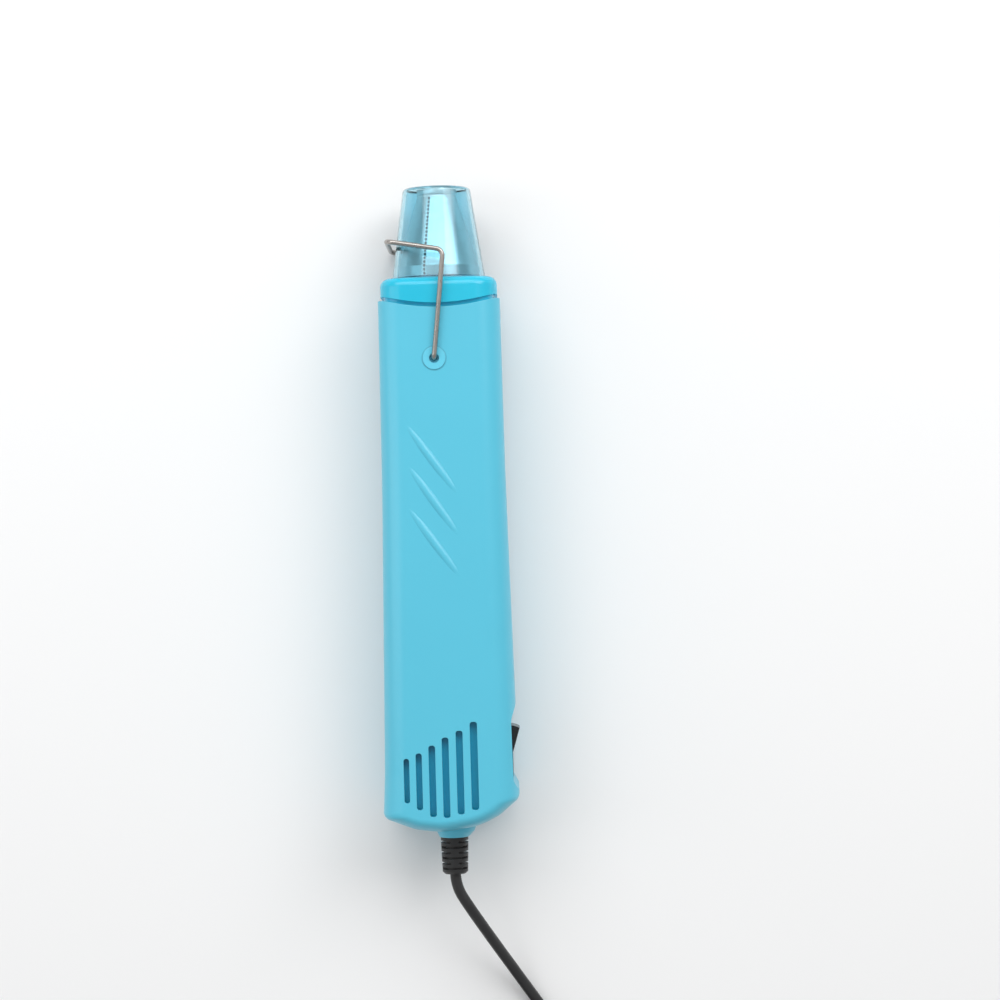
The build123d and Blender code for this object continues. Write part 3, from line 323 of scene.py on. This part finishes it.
def copper_material():
    n = Nodes("armature_metal")
    turns = n.add("ShaderNodeTexWave", bands_direction="DIAGONAL")
    n.link(n.coord, turns.inputs["Vector"])
    turns.inputs["Scale"].default_value = 900.0
    turns.inputs["Distortion"].default_value = 1.5
    n.set(
        Base_Color=n.mix(turns.outputs["Fac"], (0.30, 0.10, 0.035), (0.66, 0.28, 0.10)),
        Roughness=n.span(n.noise(300.0), 0.3, 0.7, 0.25, 0.4),
        Normal=n.bump(turns.outputs["Fac"], 0.00008),
    )
    n.shader.inputs["Metallic"].default_value = 0.85
    return n


def board_material():
    n = Nodes("board")
    weave = n.noise(1200.0, 2.0, 0.6, vector=n.mapped(scale=(1.0, 1.0, 0.3)))
    cloud = n.noise(150.0, 3.0)
    n.set(
        Base_Color=n.mix(n.math("MULTIPLY", weave, cloud), (0.24, 0.14, 0.055), (0.42, 0.27, 0.12)),
        Roughness=n.span(weave, 0.3, 0.7, 0.4, 0.6),
        Normal=n.bump(weave, 0.00003),
    )
    return n


mica = mica_material()
armature_metal = copper_material()
board = board_material()
fuse_body = moulded("fuse_body", (0.72, 0.67, 0.56), 0.5, specks=0.2)


def dress(name, look):
    """Gives a CAD node its finish."""
    obj = nodes[name]
    if not obj.material_slots:
        obj.data.materials.append(look.material)
    for one in obj.material_slots:
        one.material = look.material
    return obj


for look, names in (
    (body_plastic, ["shell_upper", "shell_lower"]),
    (guard_plastic, ["nose_guard"]),
    (nozzle_steel, ["nozzle_cone"]),
    (plain_steel, ["heater_barrel"]),
    (mica, ["mica_sleeve", "mica_cross"]),
    (heater_wire, ["heating_coil"]),
    (dull_aluminium, ["thermostat"]),
    (fuse_body, ["thermal_fuse"]),
    (duct_plastic, ["air_duct", "fan_impeller", "motor_endcap"]),
    (motor_steel, ["motor_can", "motor_shaft"]),
    (magnet, ["motor_magnets", "motor_dampers"]),
    (bronze, ["motor_bushes"]),
    (brass, ["motor_brushes", "switch_contacts"]),
    (armature_metal, ["motor_armature"]),
    (board, ["rectifier_board"]),
    (diode_black, ["rectifier_diodes"]),
    (black_plastic, ["switch_housing", "rocker_button", "coil_tie"]),
    (wire_steel, ["stand_wire"]),
    (black_rubber, ["strain_relief", "cord_sheath", "plug_body"]),
    (plated_brass, ["plug_pins"]),
    (lead_brown, ["lead_live", "lead_switched"]),
    (lead_blue, ["lead_neutral"]),
    (screw_steel, ["shell_screws"]),
):
    for name in names:
        dress(name, look)


# ---------------------------------------------------------------- cord
# The route's points as in the CAD, millimetres: out of the relief, down to the surface, round to the put-away coil.
EXIT = (0.0, -131.9, AXIS_Z)
CORD_R = 2.1
# Its first bend follows the photograph, a few millimetres beside the CAD's fairer one.
run_points = [
    EXIT,
    (0.0, -137.0, AXIS_Z),
    (5.6, -146.2, 22.0),
    (13.2, -158.7, 15.5),
    (22.5, -174.0, 5.4),
    (33.5, -190.5, 2.15),
    (43.5, -203.5, 2.15),
    (49.6, -217.0, 2.8),
]
COIL_X, COIL_Y = 20.0, -224.5
PER_TURN = 14
TURNS = 3600.0                      # degrees, clockwise seen from above
# Places of the turns in the bundle: radius, height.
LOW, MID, TOP = 3.0, 6.64, 10.28
PLACES = [
    (30.7, LOW), (26.5, LOW), (22.3, LOW), (18.1, LOW), (20.2, MID), (18.1, TOP), (22.3, TOP), (24.4, MID),
    (28.6, MID), (26.5, TOP), (30.7, TOP),
]
MOVES = [280, 635, 990, 1300, 1655, 1980, 2335, 2690, 3015, 3325]   # where the cord starts to cross to the next place
CROSS = 90.0


def coil_place(turned):
    k = sum(turned >= m for m in MOVES)
    if k == 0:
        return PLACES[0]
    u = min(1.0, (turned - MOVES[k - 1]) / CROSS)
    u = u * u * (3 - 2 * u)
    (r0, z0), (r1, z1) = PLACES[k - 1], PLACES[k]
    return r0 + (r1 - r0) * u, z0 + (z1 - z0) * u


coil_points = []
steps = round(TURNS / 360.0 * PER_TURN)
for i in range(steps + 1):
    turned = TURNS * i / steps
    r, z = coil_place(turned)
    a = -math.radians(turned)
    r /= math.cos(math.pi / PER_TURN)       # the spline runs inside its control points
    coil_points.append((COIL_X + r * math.cos(a), COIL_Y + r * math.sin(a), z))

end_points = [
    (49.9, -239.5, 9.4),
    (41.4, -254.9, 7.8),
    (25.0, -262.4, 8.3),
    (13.0, -262.4, 8.5),
]


def nurbs_cord(name, points, radius, look, smooth=10, sides=8):
    curve = bpy.data.curves.new(name, "CURVE")
    curve.dimensions = "3D"
    spline = curve.splines.new("NURBS")
    spline.points.add(len(points) - 1)
    for point, co in zip(spline.points, points):
        point.co = (co[0] * MM, co[1] * MM, co[2] * MM, 1.0)
    spline.order_u = 3
    spline.use_endpoint_u = True
    spline.resolution_u = smooth
    curve.bevel_depth = radius * MM
    curve.bevel_resolution = sides
    curve.use_fill_caps = True
    obj = bpy.data.objects.new(name, curve)
    scene.collection.objects.link(obj)
    curve.materials.append(look.material)
    return obj


mains_cord = nurbs_cord("mains_cord", run_points + coil_points + end_points, CORD_R, black_rubber)
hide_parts("cord_run", "cord_coil", "cord_end")
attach(mains_cord, "housing")


# ---------------------------------------------------------------- details that the CAD leaves out
def mesh_piece(name, verts, faces, look, body, soften=0.0):
    """A new piece from millimetre points; rides on a body."""
    mesh = bpy.data.meshes.new(name)
    mesh.from_pydata([tuple(c * MM for c in v) for v in verts], [], faces)
    mesh.validate()
    bm = bmesh.new()
    bm.from_mesh(mesh)
    bmesh.ops.recalc_face_normals(bm, faces=bm.faces)
    bm.to_mesh(mesh)
    bm.free()
    obj = bpy.data.objects.new(name, mesh)
    scene.collection.objects.link(obj)
    mesh.materials.append(look.material)
    if soften:
        bevel = obj.modifiers.new("soft", "BEVEL")
        bevel.width, bevel.segments, bevel.limit_method = soften * MM, 2, "ANGLE"
    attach(obj, body)
    return obj


def cone_radius(y):
    """Outside radius of the steel nozzle at Y."""
    return 15.5 if y < 101.0 else 15.5 + (7.4 - 15.5) * (y - 101.0) / 27.4


def on_cone(angle, y, lift):
    """Point on the nozzle: angle from straight up towards +X, degrees."""
    a, r = math.radians(angle), cone_radius(y) + lift
    return (r * math.sin(a), y, AXIS_Z + r * math.cos(a))


SEAM_ANGLE = -17.0                  # where the sheet overlaps, degrees from straight up


def lapped_seam():
    """The sheet's overlapping edge along the nozzle."""
    verts, faces = [], []
    marks = [97.3 + 0.75 * k for k in range(42) if 97.3 + 0.75 * k < 127.9]
    lap = [(0.0, -0.10), (0.04, 0.26), (0.30, 0.30), (1.6, 0.16), (3.0, 0.02)]
    for y in marks:
        for across, lift in lap:
            # the same width in millimetres all along
            verts.append(on_cone(SEAM_ANGLE + across * 57.3 / cone_radius(y), y, lift))
    n = len(lap)
    for i in range(len(marks) - 1):
        for j in range(n - 1):
            k = i * n + j
            faces.append((k, k + 1, k + n + 1, k + n))
    return mesh_piece("nozzle_seam", verts, faces, nozzle_steel, "housing")


def seam_welds():
    """A close row of small heat-darkened welds beside the overlap."""
    verts, faces = [], []
    for y in [97.9 + 1.46 * k for k in range(21)]:
        base = len(verts)
        centre = SEAM_ANGLE - 0.42 * 57.3 / cone_radius(y)
        verts.append(on_cone(centre, y, 0.02))
        for radius, lift in ((0.16, 0.03), (0.26, 0.12), (0.42, 0.10), (0.50, -0.05)):
            for k in range(12):
                t = 2 * math.pi * k / 12
                verts.append(on_cone(centre + radius * math.cos(t) * 57.3 / cone_radius(y), y + 1.25 * radius * math.sin(t), lift))
        for k in range(12):
            m = (k + 1) % 12
            faces.append((base, base + 1 + k, base + 1 + m))
            for ring in range(3):
                a, b = base + 1 + 12 * ring, base + 13 + 12 * ring
                faces.append((a + k, b + k, b + m, a + m))
    return mesh_piece("nozzle_welds", verts, faces, weld_steel, "housing")


def lathe(name, profile, start, heading, look, body, around=40, squash=(1.0, 1.0), soften=0.0):
    """Closed ring of (distance along heading, radius) turned about a line; squash scales its two radii."""
    heading = Vector(heading).normalized()
    side = heading.cross(Vector((0, 0, 1))).normalized()
    up = side.cross(heading)
    verts, faces = [], []
    for along, radius in profile:
        for k in range(around):
            t = 2 * math.pi * k / around
            v = Vector(start) + heading * along + side * radius * squash[0] * math.cos(t) + up * radius * squash[1] * math.sin(t)
            verts.append(tuple(v))
    n = len(profile)
    for i in range(n):
        j = (i + 1) % n
        for k in range(around):
            m = (k + 1) % around
            faces.append((i * around + k, i * around + m, j * around + m, j * around + k))
    return mesh_piece(name, verts, faces, look, body, soften)


lapped_seam()
seam_welds()

# rings of the plug's own relief
PLUG_START, PLUG_HEADING = (13.0, -262.4, 8.5), (-1.0, 0.0, 0.0)
for k in range(4):
    along = 1.0 + 1.9 * k
    r = 3.2 + 1.1 * along / 9.0
    lathe(
        "plug_relief_ring_%d" % (k + 1),
        [(along, r - 0.5), (along, r + 0.35), (along + 0.25, r + 0.55), (along + 0.85, r + 0.60), (along + 1.1, r + 0.40), (along + 1.1, r - 0.5)],
        PLUG_START, PLUG_HEADING, black_rubber, "housing",
    )


def plug_grips():
    """Raised bars on the plug's two broad sides, to pull it by."""
    verts, faces = [], []
    for side in (1, -1):
        for k in range(4):
            x = 13.0 - 8.9 - 9.6 - 2.7 * k
            # the flare's half height and half width there
            f = (13.0 - 8.9 - 7.1 - x) / 19.9
            top = 7.8 + 0.7 * f
            half = 5.2 + 1.2 * f
            base = len(verts)
            for dx, dz, dy in ((-0.75, -0.5, 0.0), (-0.55, 0.22, -0.2), (-0.25, 0.36, -0.35), (0.25, 0.36, -0.35), (0.55, 0.22, -0.2), (0.75, -0.5, 0.0)):
                for s in (-1, 1):
                    z = min(top + dz, 8.47)
                    verts.append((x + dx, -262.4 + s * (half + dy), 8.5 + side * z))
            for j in range(5):
                faces.append((base + 2 * j, base + 2 * j + 1, base + 2 * j + 3, base + 2 * j + 2))
            faces.append(tuple(base + 2 * j for j in range(6)))
            faces.append(tuple(base + 2 * j + 1 for j in range(6)))
    return mesh_piece("plug_grips", verts, faces, black_rubber, "housing")


plug_grips()


# ---------------------------------------------------------------- floor and light
def floor_material():
    n = Nodes("floor_paper")
    fibre = n.noise(500.0, 3.0, 0.6)
    cloud = n.noise(3.0, 2.0, 0.5)
    n.set(
        Base_Color=n.mix(cloud, (0.86, 0.865, 0.87), (0.885, 0.885, 0.885)),
        Roughness=n.span(fibre, 0.3, 0.7, 0.75, 0.9),
        Normal=n.bump(fibre, 0.00003, 0.4),
    )
    n.shader.inputs["Specular IOR Level"].default_value = 0.2
    return n


floor_mesh = bpy.data.meshes.new("floor")
size = 3.0
floor_mesh.from_pydata([(-size, -size, -0.00005), (size, -size, -0.00005), (size, size, -0.00005), (-size, size, -0.00005)], [], [(0, 1, 2, 3)])
floor = bpy.data.objects.new("floor", floor_mesh)
scene.collection.objects.link(floor)
floor_mesh.materials.append(floor_material().material)

world = bpy.data.worlds.new("world")
scene.world = world
world.use_nodes = True
world.node_tree.nodes["Background"].inputs["Color"].default_value = (1.0, 1.0, 1.0, 1.0)
world.node_tree.nodes["Background"].inputs["Strength"].default_value = 0.48


def softbox(name, place, aim, width, height, power, colour=(1.0, 1.0, 1.0)):
    light = bpy.data.lights.new(name, "AREA")
    light.shape = "RECTANGLE"
    light.size, light.size_y = width, height
    light.energy = power
    light.color = colour
    obj = bpy.data.objects.new(name, light)
    scene.collection.objects.link(obj)
    obj.location = place
    obj.rotation_euler = (Vector(aim) - Vector(place)).to_track_quat("-Z", "Y").to_euler()
    return obj


softbox("key", (0.06, 0.86, 1.05), (0.0, 0.05, 0.02), 2.4, 0.8, 16.6)
softbox("fill_left", (-0.95, 0.05, 0.75), (0.0, 0.0, 0.02), 0.3, 1.2, 2.2)
softbox("fill_right", (0.70, 0.55, 0.85), (0.0, 0.0, 0.02), 0.35, 0.9, 2.2)

scene.view_settings.view_transform = "Standard"
scene.view_settings.look = "None"
